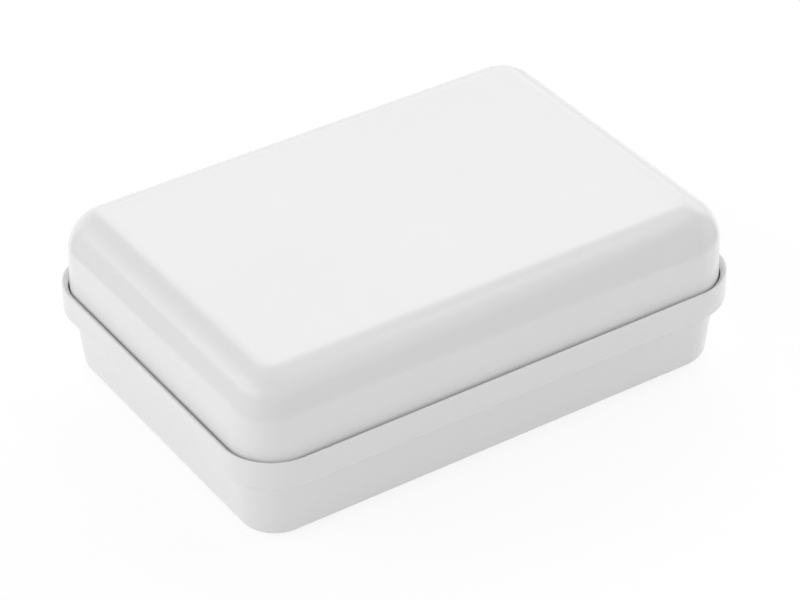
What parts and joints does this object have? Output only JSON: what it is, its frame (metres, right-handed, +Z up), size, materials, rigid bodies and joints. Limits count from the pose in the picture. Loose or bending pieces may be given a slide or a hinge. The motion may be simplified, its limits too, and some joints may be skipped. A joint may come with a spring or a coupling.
{
  "type": "travel soap box",
  "caption": "Low rectangular travel soap box in white plastic: stepped base with a rim, lift-off lid with a broad rounded top edge, and a slotted drain rack inside.",
  "frame": {"origin": "on the standing plane under the middle of the box", "axes": "+Z up, +X along the box's length, -Y towards its front long side"},
  "size_m": [0.105, 0.0734, 0.0328],
  "materials": {
    "base_plastic": "white moulded polypropylene, polished",
    "lid_plastic": "white moulded polypropylene, polished",
    "rack_plastic": "white moulded polypropylene, fine satin"
  },
  "bodies": {
    "base": {"base_tray": "base_plastic"},
    "lid": {"lid": "lid_plastic"},
    "rack": {"drain_rack": "rack_plastic"}
  },
  "joints": [
    {"name": "lid_lift", "type": "slide", "parent": "base", "child": "lid", "axis": [0, 0, 1], "range_m": [0, 0.06]},
    {"name": "rack_lift", "type": "slide", "parent": "base", "child": "rack", "axis": [0, 0, 1], "range_m": [0, 0.018]}
  ]
}
